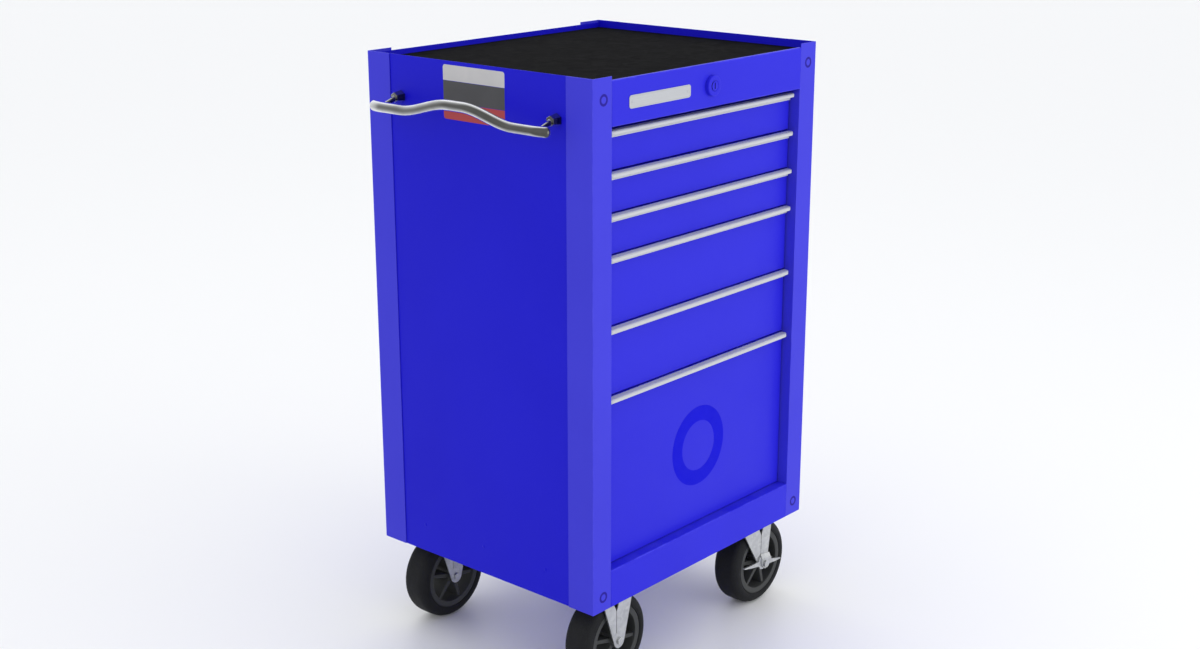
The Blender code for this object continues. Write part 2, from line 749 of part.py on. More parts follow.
def make_swivel_caster(label, x, y):
    """A fixed top plate with its race and king pin, and a fork that turns under it."""
    z = UNDER - AXLE_DROP
    plate, plate_low = mounting_plate(f"{label}_top_plate", x, y)
    race_low = plate_low - RACE_HIGH
    crown_top = race_low - GAP
    crown_low = crown_top - CROWN_THICK
    race = rod(f"{label}_race", (x, y, plate_low + 0.002), (x, y, race_low), 0.031, None, CUTTERS, 24)
    pin = rod(f"{label}_pin", (x, y, plate_low + 0.002), (x, y, crown_low - 0.0005), 0.007, None, CUTTERS, 12)
    boolean(plate, race, "UNION")
    boolean(plate, pin, "UNION")

    wheel_x = x + TRAIL
    half_y = WHEEL_WIDE / 2 + LEG_GAP + LEG_THICK
    top_x, top_half = x + 0.003, 0.052
    crown_from = (top_x - top_half, y - half_y, crown_low)
    crown_to = (top_x + top_half, y + half_y, crown_top)
    fork = box(f"{label}_fork", crown_from, crown_to, ZINC)
    add_legs(fork, label, wheel_x, y, z, top_x, top_half, crown_top - 0.001)
    pin_hole = rod(f"{label}_pin_hole", (x, y, z), (x, y, crown_top + 0.01), 0.0075, None, CUTTERS, 12)
    boolean(fork, pin_hole, "DIFFERENCE")
    make_wheel(label, wheel_x, y, z)
    make_axle(label, wheel_x, y, z, SHIELD_OUT + GAP)
    make_brake_lever(label, wheel_x, y, z)


def make_casters():
    for depth_name, y in (("front", CASTER_Y), ("rear", DEPTH - CASTER_Y)):
        make_swivel_caster(f"{depth_name}_right_caster", SWIVEL_X, y)
        make_rigid_caster(f"{depth_name}_left_caster", RIGID_X, y)


make_side_panels()
make_front_posts()
make_rear_posts()
make_header()
make_toe_rail()
make_shell_inside()
make_slide_racks()
for index, (low_edge, high_edge) in enumerate(drawer_levels()):
    make_drawer(index + 1, low_edge, high_edge)
make_lock()
make_handle()
make_casters()
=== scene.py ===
"""Rolling tool chest, dressed: folded sheet steel, turned wheels, a swept handle and every finish.

Metres, +Z up, the drawers towards -Y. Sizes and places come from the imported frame.
"""

import json
import math

import bmesh
import bpy
from mathutils import Matrix, Vector

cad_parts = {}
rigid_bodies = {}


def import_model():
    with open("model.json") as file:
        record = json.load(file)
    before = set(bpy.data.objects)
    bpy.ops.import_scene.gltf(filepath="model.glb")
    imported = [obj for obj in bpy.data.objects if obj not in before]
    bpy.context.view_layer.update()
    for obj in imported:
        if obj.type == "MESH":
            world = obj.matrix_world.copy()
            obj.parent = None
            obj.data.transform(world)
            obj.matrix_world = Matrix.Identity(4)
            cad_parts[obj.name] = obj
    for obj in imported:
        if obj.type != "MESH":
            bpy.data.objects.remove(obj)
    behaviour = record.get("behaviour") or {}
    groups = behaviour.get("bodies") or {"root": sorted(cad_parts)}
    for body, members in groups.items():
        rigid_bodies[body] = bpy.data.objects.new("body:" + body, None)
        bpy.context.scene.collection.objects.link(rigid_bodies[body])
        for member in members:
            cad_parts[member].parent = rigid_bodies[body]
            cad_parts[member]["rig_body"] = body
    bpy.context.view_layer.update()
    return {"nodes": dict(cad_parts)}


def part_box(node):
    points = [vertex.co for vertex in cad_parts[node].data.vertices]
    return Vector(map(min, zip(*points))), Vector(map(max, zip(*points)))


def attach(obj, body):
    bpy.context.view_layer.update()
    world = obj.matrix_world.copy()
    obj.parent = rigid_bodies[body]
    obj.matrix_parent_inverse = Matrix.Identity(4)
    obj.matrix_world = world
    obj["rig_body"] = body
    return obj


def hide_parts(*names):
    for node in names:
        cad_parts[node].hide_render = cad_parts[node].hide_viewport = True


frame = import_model()

SCENE = bpy.context.scene
NODES = frame["nodes"]
MERGE = 0.00001

# Gauges of the sheet, and the inside radius of its folds
POST_SHEET = 0.0015
PANEL_SHEET = 0.0012
BOX_SHEET = 0.0010
POST_FOLD = 0.0013
PANEL_FOLD = 0.0010

# Film and plates that lie on the paint
FILM = 0.00012
PLATE = 0.0010


# ---- shapes ---------------------------------------------------------------------------


def block(low, high):
    """A box between two corners."""
    bm = bmesh.new()
    bmesh.ops.create_cube(bm, size=1)
    size = [b - a for a, b in zip(low, high)]
    middle = [(a + b) / 2 for a, b in zip(low, high)]
    bmesh.ops.scale(bm, vec=size, verts=bm.verts)
    bmesh.ops.translate(bm, vec=middle, verts=bm.verts)
    return bm


def disc(radius, height, sides):
    """A cylinder that stands on z = 0."""
    bm = bmesh.new()
    bmesh.ops.create_cone(bm, cap_ends=True, segments=sides, radius1=radius, radius2=radius, depth=height)
    bmesh.ops.translate(bm, vec=(0, 0, height / 2), verts=bm.verts)
    return bm


def round_edges(bm, edges, width, segments):
    """Bevels the edges and marks the new faces as edge faces, where a finish rubs first and where the paint
    gets a painted highlight.
    """
    layer = bm.loops.layers.float.get("edge") or bm.loops.layers.float.new("edge")
    made = bmesh.ops.bevel(
        bm,
        geom=edges,
        offset=width,
        offset_type="OFFSET",
        segments=segments,
        profile=0.5,
        affect="EDGES",
        material=-1,
        clamp_overlap=True,
    )
    for face in made["faces"]:
        for loop in face.loops:
            loop[layer] = 1.0


def soften(bm, width, segments=2, sharpest=30):
    """Rounds every edge that is sharper than an angle in degrees."""
    bm.normal_update()
    limit = math.radians(sharpest)
    edges = [edge for edge in bm.edges if edge.is_manifold and edge.calc_face_angle() > limit]
    round_edges(bm, edges, width, segments)


def round_folds(bm, gauge, inside, axis=None):
    """Gives the folds of a sheet their radius, outside and inside. axis keeps to folds along it."""
    bm.normal_update()
    outer, inner = [], []
    for edge in bm.edges:
        if not edge.is_manifold or abs(edge.calc_face_angle() - math.pi / 2) > 0.2:
            continue
        length = edge.calc_length()
        along = (edge.verts[1].co - edge.verts[0].co) / length
        if axis and abs(along.dot(Vector(axis))) < 0.99:
            continue
        if min(face.calc_area() / length for face in edge.link_faces) > 1.8 * gauge:
            (outer if edge.is_convex else inner).append(edge)
    if outer:
        round_edges(bm, outer, inside + gauge, 4)
    inner = [edge for edge in inner if edge.is_valid]
    if inner:
        round_edges(bm, inner, inside, 3)


def copy_of(*nodes):
    """The frame's own solids as one clean mesh, their flat faces whole."""
    bm = bmesh.new()
    for node in nodes:
        bm.from_mesh(NODES[node].data)
    bmesh.ops.remove_doubles(bm, verts=bm.verts, dist=MERGE)
    bmesh.ops.dissolve_limit(bm, angle_limit=math.radians(0.8), verts=bm.verts, edges=bm.edges)
    return bm


def turned(profile, sides):
    """A closed profile of (radius, height) turned about the Z axis."""
    bm = bmesh.new()
    points = [bm.verts.new((radius, 0, height)) for radius, height in profile]
    edges = [bm.edges.new(pair) for pair in zip(points, points[1:] + points[:1])]
    bmesh.ops.spin(
        bm,
        geom=points + edges,
        cent=(0, 0, 0),
        axis=(0, 0, 1),
        dvec=(0, 0, 0),
        angle=2 * math.pi,
        steps=sides,
        use_merge=True,
    )
    bmesh.ops.remove_doubles(bm, verts=bm.verts, dist=MERGE)
    bmesh.ops.recalc_face_normals(bm, faces=bm.faces)
    return bm


def swept(path, radii, sides):
    """A round bar along a path, with a radius at each of its points."""
    bm = bmesh.new()
    bmesh.ops.create_circle(bm, cap_ends=True, segments=sides, radius=1)
    places = []
    for index, (point, radius) in enumerate(zip(path, radii)):
        before, after = path[max(index - 1, 0)], path[min(index + 1, len(path) - 1)]
        turn = (after - before).to_track_quat("Z", "X").to_matrix().to_4x4()
        places.append(Matrix.Translation(point) @ turn @ Matrix.Diagonal((radius, radius, 1, 1)))
    bm.transform(places[0])
    edges = bm.edges[:]
    for start, end in zip(places, places[1:]):
        made = bmesh.ops.extrude_edge_only(bm, edges=edges)
        verts = [part for part in made["geom"] if isinstance(part, bmesh.types.BMVert)]
        bmesh.ops.transform(bm, matrix=end @ start.inverted(), verts=verts)
        rim = set(verts)
        edges = [part for part in made["geom"] if isinstance(part, bmesh.types.BMEdge)]
        edges = [edge for edge in edges if rim.issuperset(edge.verts)]
    bmesh.ops.edgeloop_fill(bm, edges=edges)
    bmesh.ops.recalc_face_normals(bm, faces=bm.faces)
    return bm


def add_to(bm, part, place=Matrix()):
    """Puts another shape into bm, moved by place."""
    part.transform(place)
    mesh = bpy.data.meshes.new("part")
    part.to_mesh(mesh)
    part.free()
    bm.from_mesh(mesh)
    bpy.data.meshes.remove(mesh)


def facing(point, direction):
    """Places a shape that stands on z = 0 so that it stands out from a point in a direction."""
    turn = Vector(direction).to_track_quat("Z", "Y").to_matrix().to_4x4()
    return Matrix.Translation(point) @ turn


def rivets(points, direction, radius, height):
    """Low domed heads."""
    bm = bmesh.new()
    for point in points:
        dome = bmesh.new()
        bmesh.ops.create_uvsphere(dome, u_segments=16, v_segments=8, radius=1)
        bmesh.ops.scale(dome, vec=(radius, radius, height), verts=dome.verts)
        add_to(bm, dome, facing(point, direction))
    return bm


def bolts(points, direction, radius, height):
    """Hexagon heads on washers, each with a chamfered crown."""
    bm = bmesh.new()
    for point in points:
        place = facing(point, direction)
        add_to(bm, disc(radius * 1.35, height * 0.2, 32), place)
        head = disc(radius, height, 6)
        parts = head.verts[:] + head.edges[:] + head.faces[:]
        bmesh.ops.bisect_plane(head, geom=parts, plane_co=(0, 0, height * 0.85), plane_no=(0, 0, 1))
        crown = [vert for vert in head.verts if vert.co.z > height * 0.95]
        bmesh.ops.scale(head, vec=(0.88, 0.88, 1), verts=crown)
        add_to(bm, head, place @ Matrix.Translation((0, 0, height * 0.1)))
    return bm


def ring_mark(centre, outer, inner, direction):
    """A plain round ring of film."""
    bm = turned([(outer, 0), (outer, FILM), (inner, FILM), (inner, 0)], 96)
    bm.transform(facing(centre, direction))
    return bm


def raise_film(bm):
    """Gives a flat shape on z = 0 the thickness of film."""
    made = bmesh.ops.extrude_face_region(bm, geom=bm.faces[:])
    verts = [part for part in made["geom"] if isinstance(part, bmesh.types.BMVert)]
    bmesh.ops.translate(bm, vec=(0, 0, FILM), verts=verts)
    bmesh.ops.recalc_face_normals(bm, faces=bm.faces)


def rounded_plate(width, height, thickness, corner):
    """A plate that stands on z = 0, with round corners."""
    bm = block((-width / 2, -height / 2, 0), (width / 2, height / 2, thickness))
    upright = [edge for edge in bm.edges if abs(edge.verts[0].co.z - edge.verts[1].co.z) > thickness / 2]
    round_edges(bm, upright, corner, 6)
    return bm


def piece(name, bm, materials, body, replaced=(), sharp=35, even=False):
    """One finished piece: its mesh, finishes and body, and the frame's solids it stands for."""
    mesh = bpy.data.meshes.new(name)
    bm.normal_update()
    bm.to_mesh(mesh)
    bm.free()
    for material in materials:
        mesh.materials.append(material)
    mesh.shade_smooth()
    mesh.set_sharp_from_angle(angle=math.radians(sharp))
    obj = bpy.data.objects.new(name, mesh)
    SCENE.collection.objects.link(obj)
    if even:
        shading = obj.modifiers.new("even_shading", "WEIGHTED_NORMAL")
        shading.keep_sharp = True
    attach(obj, body)
    if replaced:
        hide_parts(*replaced)
    return obj


def body_of(node):
    return NODES[node]["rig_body"]


# ---- shared patterns ------------------------------------------------------------------

FLOAT, VECTOR = "NodeSocketFloat", "NodeSocketVector"


def add_node(tree, kind, inputs=(), **settings):
    """A shader node with its settings, and its inputs as values or as links from other nodes."""
    node = tree.nodes.new("ShaderNode" + kind)
    for name, value in settings.items():
        setattr(node, name, value)
    for key, value in dict(inputs).items():
        if isinstance(value, bpy.types.NodeSocket):
            tree.links.new(value, node.inputs[key])
        else:
            node.inputs[key].default_value = value
    return node


def calc(tree, operation, first, second=0.0):
    return add_node(tree, "Math", {0: first, 1: second}, operation=operation, use_clamp=False).outputs[0]


def spread(tree, value, low, high, to_low=0.0, to_high=1.0):
    """Maps low..high onto to_low..to_high, held at both ends."""
    inputs = {"Value": value, "From Min": low, "From Max": high, "To Min": to_low, "To Max": to_high}
    return add_node(tree, "MapRange", inputs).outputs["Result"]


def mixed(tree, factor, first, second):
    node = add_node(tree, "Mix", {0: factor, 6: first, 7: second}, data_type="RGBA")
    return node.outputs[2]


def noise(tree, where, scale, detail=2.0, roughness=0.5, distortion=0.0):
    inputs = {"Vector": where, "Scale": scale, "Detail": detail}
    inputs.update({"Roughness": roughness, "Distortion": distortion})
    return add_node(tree, "TexNoise", inputs).outputs["Fac"]


def new_group(name, inputs, outputs):
    """A node group with named sockets. Gives its tree, and what its inputs put out, by name."""
    tree = bpy.data.node_groups.new(name, "ShaderNodeTree")
    for label, kind, value in inputs:
        tree.interface.new_socket(label, in_out="INPUT", socket_type=kind).default_value = value
    for label, kind in outputs:
        tree.interface.new_socket(label, in_out="OUTPUT", socket_type=kind)
    given = tree.nodes.new("NodeGroupInput").outputs
    end = tree.nodes.new("NodeGroupOutput")
    where = add_node(tree, "TexCoord").outputs["Object"]
    return tree, given, end.inputs, where


def grain_pattern():
    """Fine pimples: powder coat, rubber, moulded plastic. Size and Depth in metres."""
    inputs = [("Size", FLOAT, 0.001), ("Depth", FLOAT, 0.00001)]
    tree, given, out, where = new_group("fine_grain", inputs, [("Tone", FLOAT), ("Normal", VECTOR)])
    fine = noise(tree, where, calc(tree, "DIVIDE", 1.0, given["Size"]), 3.0, 0.55)
    bump = add_node(tree, "Bump", {"Strength": 1.0, "Distance": given["Depth"], "Height": fine})
    tree.links.new(fine, out["Tone"])
    tree.links.new(bump.outputs["Normal"], out["Normal"])
    return tree


def cloud_pattern():
    """Broad soft patches of another tone. Size in metres, Amount the share of it."""
    inputs = [("Size", FLOAT, 0.3), ("Amount", FLOAT, 0.5)]
    tree, given, out, where = new_group("cloudy_tone", inputs, [("Mask", FLOAT)])
    broad = noise(tree, where, calc(tree, "DIVIDE", 1.0, given["Size"]), 3.0, 0.5, 0.4)
    mask = calc(tree, "MULTIPLY", spread(tree, broad, 0.35, 0.68), given["Amount"])
    tree.links.new(mask, out["Mask"])
    return tree


def handling_pattern():
    """Roughness that wipes and fingertips have made uneven, with a few hairlines."""
    inputs = [("Base", FLOAT, 0.4), ("Uneven", FLOAT, 0.1), ("Size", FLOAT, 0.06)]
    tree, given, out, where = new_group("handling", inputs, [("Roughness", FLOAT)])
    per_size = calc(tree, "DIVIDE", 1.0, given["Size"])
    wiped = spread(tree, noise(tree, where, per_size, 4.0, 0.6, 1.2), 0.3, 0.7, -0.5, 0.5)
    slant = {"Vector": where, "Rotation": (0.5, 0.9, 0.3), "Scale": (9, 160, 9)}
    slanted = add_node(tree, "Mapping", slant).outputs[0]
    hairline = spread(tree, noise(tree, slanted, 3.0, 2.0), 0.66, 0.74, 0.0, 0.6)
    total = calc(tree, "ADD", wiped, hairline)
    rough = calc(tree, "ADD", given["Base"], calc(tree, "MULTIPLY", total, given["Uneven"]))
    tree.links.new(rough, out["Roughness"])
    return tree


def edge_pattern():
    """Where rounded edges have rubbed through, in broken stretches. On the paint the same mask also lays a
    painted highlight along the edges.
    """
    inputs = [("Size", FLOAT, 0.02), ("Amount", FLOAT, 0.5)]
    tree, given, out, where = new_group("edge_rub_and_highlight", inputs, [("Mask", FLOAT)])
    edge = add_node(tree, "Attribute", attribute_name="edge").outputs["Fac"]
    broken = noise(tree, where, calc(tree, "DIVIDE", 1.0, given["Size"]), 4.0, 0.65)
    share = calc(tree, "MULTIPLY", spread(tree, broken, 0.42, 0.62), given["Amount"])
    tree.links.new(calc(tree, "MULTIPLY", edge, share), out["Mask"])
    return tree


def brushed_pattern():
    """Long fine scratches. Stretch is how many lie in a metre each way."""
    inputs = [("Stretch", VECTOR, (4, 1500, 1500)), ("Depth", FLOAT, 0.000004)]
    tree, given, out, where = new_group("brushed_lines", inputs, [("Tone", FLOAT), ("Normal", VECTOR)])
    drawn = add_node(tree, "Mapping", {"Vector": where, "Scale": given["Stretch"]}).outputs[0]
    lines = noise(tree, drawn, 1.0, 3.0, 0.7)
    bump = add_node(tree, "Bump", {"Strength": 1.0, "Distance": given["Depth"], "Height": lines})
    tree.links.new(lines, out["Tone"])
    tree.links.new(bump.outputs["Normal"], out["Normal"])
    return tree


def plating_pattern():
    """The crystals and dull clouds of zinc plate."""
    inputs = [("Size", FLOAT, 0.006), ("Depth", FLOAT, 0.000004)]
    tree, given, out, where = new_group("plating", inputs, [("Tone", FLOAT), ("Normal", VECTOR)])
    per_size = calc(tree, "DIVIDE", 1.0, given["Size"])
    cells = add_node(tree, "TexVoronoi", {"Vector": where, "Scale": per_size}).outputs["Color"]
    cell = add_node(tree, "SeparateColor", {0: cells}).outputs[0]
    cloud = noise(tree, where, calc(tree, "MULTIPLY", per_size, 0.2), 4.0, 0.6)
    tone = calc(tree, "ADD", calc(tree, "MULTIPLY", cell, 0.35), calc(tree, "MULTIPLY", cloud, 0.65))
    fine = noise(tree, where, calc(tree, "MULTIPLY", per_size, 8.0), 2.0)
    bump = add_node(tree, "Bump", {"Strength": 1.0, "Distance": given["Depth"], "Height": fine})
    tree.links.new(tone, out["Tone"])
    tree.links.new(bump.outputs["Normal"], out["Normal"])
    return tree


def dust_pattern():
    """Dust that has settled on what faces up."""
    tree, given, out, where = new_group("settled_dust", [("Amount", FLOAT, 0.1)], [("Mask", FLOAT)])
    up = add_node(tree, "SeparateXYZ", {0: add_node(tree, "NewGeometry").outputs["Normal"]}).outputs["Z"]
    patch = spread(tree, noise(tree, where, 26.0, 5.0, 0.65), 0.4, 0.75)
    lying = calc(tree, "MULTIPLY", spread(tree, up, 0.6, 1.0), patch)
    tree.links.new(calc(tree, "MULTIPLY", lying, given["Amount"]), out["Mask"])
    return tree


GRAIN = grain_pattern()
CLOUDS = cloud_pattern()
HANDLING = handling_pattern()
EDGES = edge_pattern()
BRUSHED = brushed_pattern()
PLATING = plating_pattern()
DUST = dust_pattern()


# ---- finishes -------------------------------------------------------------------------


def new_finish(name, metallic=0.0, **sockets):
    """A material, its tree and its Principled shader, with what is the same all over set on it."""
    material = bpy.data.materials.new(name)
    material.use_nodes = True
    shader = material.node_tree.nodes["Principled BSDF"]
    shader.inputs["Metallic"].default_value = metallic
    for label, value in sockets.items():
        shader.inputs[label.replace("_", " ")].default_value = value
    return material, material.node_tree, shader.inputs


def place(tree, group, **values):
    """A group in a material, with its own values."""
    node = tree.nodes.new("ShaderNodeGroup")
    node.node_tree = group
    for label, value in values.items():
        node.inputs[label].default_value = value
    return node.outputs


def colour(red, green, blue):
    return (red, green, blue, 1.0)


def painted_steel(name, paint, thin, rough):
    """Satin powder coat: orange peel, patches of a slightly thinner coat, paler edges that are partly
    rub-through and partly a painted highlight, and a little dust.
    """
    material, tree, shader = new_finish(name, Specular_IOR_Level=0.14)
    tone = mixed(tree, place(tree, CLOUDS, Size=0.35, Amount=0.6)["Mask"], paint, thin)
    # Paler colour on the rounded edges: partly rubbed-through paint, partly a painted highlight.
    edge_wear_and_highlight = colour(*[min(1, 0.05 + channel * 1.25) for channel in paint[:3]])
    tone = mixed(tree, place(tree, EDGES, Size=0.05, Amount=0.45)["Mask"], tone, edge_wear_and_highlight)
    tone = mixed(tree, place(tree, DUST, Amount=0.05)["Mask"], tone, colour(0.45, 0.45, 0.48))
    tree.links.new(tone, shader["Base Color"])
    handled = place(tree, HANDLING, Base=rough, Uneven=0.07, Size=0.11)
    tree.links.new(handled["Roughness"], shader["Roughness"])
    tree.links.new(place(tree, GRAIN, Size=0.0016, Depth=0.000012)["Normal"], shader["Normal"])
    return material


def brushed_aluminium(name, metal, dull, metallic, rough):
    material, tree, shader = new_finish(name, metallic=metallic, Anisotropic=0.35)
    lines = place(tree, BRUSHED, Stretch=(4, 1500, 1500), Depth=0.000004)
    tone = mixed(tree, spread(tree, lines["Tone"], 0.3, 0.7), dull, metal)
    tone = mixed(tree, place(tree, CLOUDS, Size=0.09, Amount=0.25)["Mask"], tone, dull)
    bright = colour(0.70, 0.71, 0.73)
    tone = mixed(tree, place(tree, EDGES, Size=0.015, Amount=0.5)["Mask"], tone, bright)
    tree.links.new(tone, shader["Base Color"])
    handled = place(tree, HANDLING, Base=rough, Uneven=0.12, Size=0.05)
    tree.links.new(handled["Roughness"], shader["Roughness"])
    tree.links.new(lines["Normal"], shader["Normal"])
    return material


def chrome_with_painted_reflection():
    """Chrome with a painted reflection, dark face on and bright at its rims, with faint polishing lines and
    fingerprints.
    """
    material, tree, shader = new_finish("chrome_with_painted_reflection", metallic=1.0)
    # Painted reflection: the base colour runs from near-black where the bar faces the camera to near-white
    # at its rims.
    facing_away = add_node(tree, "LayerWeight", {"Blend": 0.5}).outputs["Facing"]
    rim = spread(tree, facing_away, 0.30, 0.62)
    tone = mixed(tree, rim, colour(0.080, 0.080, 0.072), colour(0.95, 0.96, 0.97))
    print_mask = place(tree, CLOUDS, Size=0.04, Amount=0.35)["Mask"]
    tone = mixed(tree, print_mask, tone, colour(0.13, 0.13, 0.13))
    tree.links.new(tone, shader["Base Color"])
    handled = place(tree, HANDLING, Base=0.10, Uneven=0.09, Size=0.02)
    tree.links.new(handled["Roughness"], shader["Roughness"])
    tree.links.new(place(tree, GRAIN, Size=0.004, Depth=0.000006)["Normal"], shader["Normal"])
    return material


def plated_steel(name, light, dark, rough):
    material, tree, shader = new_finish(name, metallic=0.9)
    plate = place(tree, PLATING, Size=0.007, Depth=0.000005)
    tone = mixed(tree, spread(tree, plate["Tone"], 0.25, 0.7), dark, light)
    bright = colour(0.80, 0.81, 0.82)
    tone = mixed(tree, place(tree, EDGES, Size=0.01, Amount=0.5)["Mask"], tone, bright)
    tone = mixed(tree, place(tree, DUST, Amount=0.12)["Mask"], tone, colour(0.35, 0.34, 0.33))
    tree.links.new(tone, shader["Base Color"])
    handled = place(tree, HANDLING, Base=rough, Uneven=0.16, Size=0.02)
    tree.links.new(handled["Roughness"], shader["Roughness"])
    tree.links.new(plate["Normal"], shader["Normal"])
    return material


def moulded(name, deep, worn, shine, rough, size, depth, dust):
    """Rubber and plastic: fine grain, greyer where it is rubbed, with dust in it."""
    material, tree, shader = new_finish(name, Specular_IOR_Level=shine)
    grain = place(tree, GRAIN, Size=size, Depth=depth)
    tone = mixed(tree, spread(tree, grain["Tone"], 0.3, 0.75), deep, worn)
    tone = mixed(tree, place(tree, EDGES, Size=0.02, Amount=0.6)["Mask"], tone, worn)
    tone = mixed(tree, place(tree, DUST, Amount=dust)["Mask"], tone, colour(0.22, 0.21, 0.20))
    tree.links.new(tone, shader["Base Color"])
    handled = place(tree, HANDLING, Base=rough, Uneven=0.15, Size=0.03)
    tree.links.new(handled["Roughness"], shader["Roughness"])
    tree.links.new(grain["Normal"], shader["Normal"])
    return material


def film(name, tint, shade, rough):
    """Thin vinyl, a little uneven in tone and gloss."""
    material, tree, shader = new_finish(name, Specular_IOR_Level=0.08)
    tone = mixed(tree, place(tree, CLOUDS, Size=0.05, Amount=0.5)["Mask"], tint, shade)
    tree.links.new(tone, shader["Base Color"])
    handled = place(tree, HANDLING, Base=rough, Uneven=0.1, Size=0.03)
    tree.links.new(handled["Roughness"], shader["Roughness"])
    tree.links.new(place(tree, GRAIN, Size=0.0012, Depth=0.000004)["Normal"], shader["Normal"])
    return material


# name, main tone, second tone, then each finish's own numbers
# The cabinet's one paint in two copies: the panel blue, on the sides, back, tray, pan, rivets and drawer
# trays, is darker as painted shade for faces turned from the light; the front blue is the paler lit copy
# for the header, toe rail, drawer fronts and lock.
SHADED_PANEL_BLUE = painted_steel("shaded_panel_blue", colour(0.005, 0.003, 0.54), colour(0.007, 0.005, 0.59), 0.42)
LIT_FRONT_BLUE = painted_steel("lit_front_blue", colour(0.019, 0.016, 0.60), colour(0.023, 0.020, 0.65), 0.42)
POST_BLUE = painted_steel("post_blue", colour(0.041, 0.038, 0.60), colour(0.047, 0.044, 0.65), 0.42)
PULL = brushed_aluminium(
    "pull_aluminium", colour(0.54, 0.55, 0.57), colour(0.48, 0.49, 0.51), metallic=0.10, rough=0.60
)
NAMEPLATE = brushed_aluminium(
    "nameplate_metal", colour(0.50, 0.51, 0.53), colour(0.40, 0.41, 0.43), metallic=0.5, rough=0.48
)
CHROME = chrome_with_painted_reflection()
ZINC = plated_steel("zinc_plate", colour(0.56, 0.57, 0.57), colour(0.44, 0.45, 0.46), 0.42)
SLIDE = plated_steel("slide_steel", colour(0.42, 0.43, 0.45), colour(0.30, 0.31, 0.33), 0.42)
# Near-black for the walls of the key slot: painted shade in the deep slot.
KEYWAY_SHADE = plated_steel("keyway_painted_shade", colour(0.030, 0.030, 0.032), colour(0.012, 0.012, 0.013), 0.55)
MAT = moulded(
    "top_mat_rubber", colour(0.0025, 0.0025, 0.003), colour(0.0045, 0.0045, 0.005),
    shine=0.02, rough=0.85, size=0.0022, depth=0.00009, dust=0.01,
)
TYRE = moulded(
    "tyre_rubber", colour(0.004, 0.004, 0.006), colour(0.018, 0.019, 0.020),
    shine=0.15, rough=0.62, size=0.0015, depth=0.00003, dust=0.08,
)
WHEEL = moulded(
    "wheel_plastic", colour(0.030, 0.032, 0.032), colour(0.044, 0.046, 0.046),
    shine=0.3, rough=0.5, size=0.0009, depth=0.00001, dust=0.10,
)
LINER = moulded(
    "drawer_liner", colour(0.016, 0.016, 0.018), colour(0.040, 0.040, 0.042),
    shine=0.1, rough=0.85, size=0.0014, depth=0.00025, dust=0.05,
)
DRAWER_MARK = film("deep_blue_film", colour(0.0010, 0.0008, 0.56), colour(0.0014, 0.0010, 0.60), 0.5)
POST_MARK = film("dark_blue_film", colour(0.018, 0.010, 0.26), colour(0.022, 0.013, 0.30), 0.5)
LABEL_LIGHT = film("label_grey", colour(0.55, 0.54, 0.54), colour(0.46, 0.46, 0.47), 0.45)
LABEL_RED = film("label_brick", colour(0.42, 0.070, 0.075), colour(0.37, 0.072, 0.075), 0.45)
LABEL_DARK = film("label_charcoal", colour(0.080, 0.080, 0.084), colour(0.095, 0.095, 0.100), 0.45)


# ---- cabinet --------------------------------------------------------------------------


def make_cabinet_sheets():
    """Every folded or flat sheet of the cabinet."""
    for side in ("left", "right"):
        node = f"{side}_side_panel"
        bm = copy_of(node)
        soften(bm, 0.0004)
        piece(f"{node}_sheet", bm, [SHADED_PANEL_BLUE], "cabinet", [node], even=True)
    for node in ("front_left_post", "front_right_post", "rear_left_post", "rear_right_post"):
        folded(node, POST_BLUE, POST_SHEET, POST_FOLD, (0, 0, 1))
    for node in ("header_panel", "toe_rail"):
        folded(node, LIT_FRONT_BLUE, PANEL_SHEET, PANEL_FOLD, (1, 0, 0))
    folded("top_tray", SHADED_PANEL_BLUE, PANEL_SHEET, PANEL_FOLD, (1, 0, 0))
    folded("base_pan", SHADED_PANEL_BLUE, POST_SHEET, POST_FOLD, None)


def folded(node, material, gauge, inside, axis):
    bm = copy_of(node)
    round_folds(bm, gauge, inside, axis)
    soften(bm, gauge * 0.28)
    return piece(f"{node}_sheet", bm, [material], body_of(node), [node], even=True)


def make_back():
    """Back sheet with pressed beads, and rivets into the tray and the base pan."""
    low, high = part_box("back_panel")
    bm = copy_of("back_panel")
    soften(bm, 0.0003)
    middle = (low.x + high.x) / 2
    for offset in (-0.14, 0.0, 0.14):
        bead = bmesh.new()
        bmesh.ops.create_uvsphere(bead, u_segments=24, v_segments=12, radius=1)
        bmesh.ops.scale(bead, vec=(0.009, 0.0014, 0.009), verts=bead.verts)
        upper = [vert for vert in bead.verts if vert.co.z > 0.0001]
        lower = [vert for vert in bead.verts if vert.co.z < -0.0001]
        reach = (high.z - low.z) / 2 - 0.09
        bmesh.ops.translate(bead, vec=(0, 0, reach), verts=upper)
        bmesh.ops.translate(bead, vec=(0, 0, -reach), verts=lower)
        add_to(bm, bead, Matrix.Translation((middle + offset, high.y, (low.z + high.z) / 2)))
    piece("back_panel_sheet", bm, [SHADED_PANEL_BLUE], "cabinet", ["back_panel"], even=True)
    columns = [middle + step * 0.062 for step in range(-4, 5)]
    rows = (low.z + 0.030, high.z - 0.020)
    points = [(x, high.y, z) for z in rows for x in columns]
    piece("back_rivets", rivets(points, (0, 1, 0), 0.0032, 0.0013), [ZINC], "cabinet")


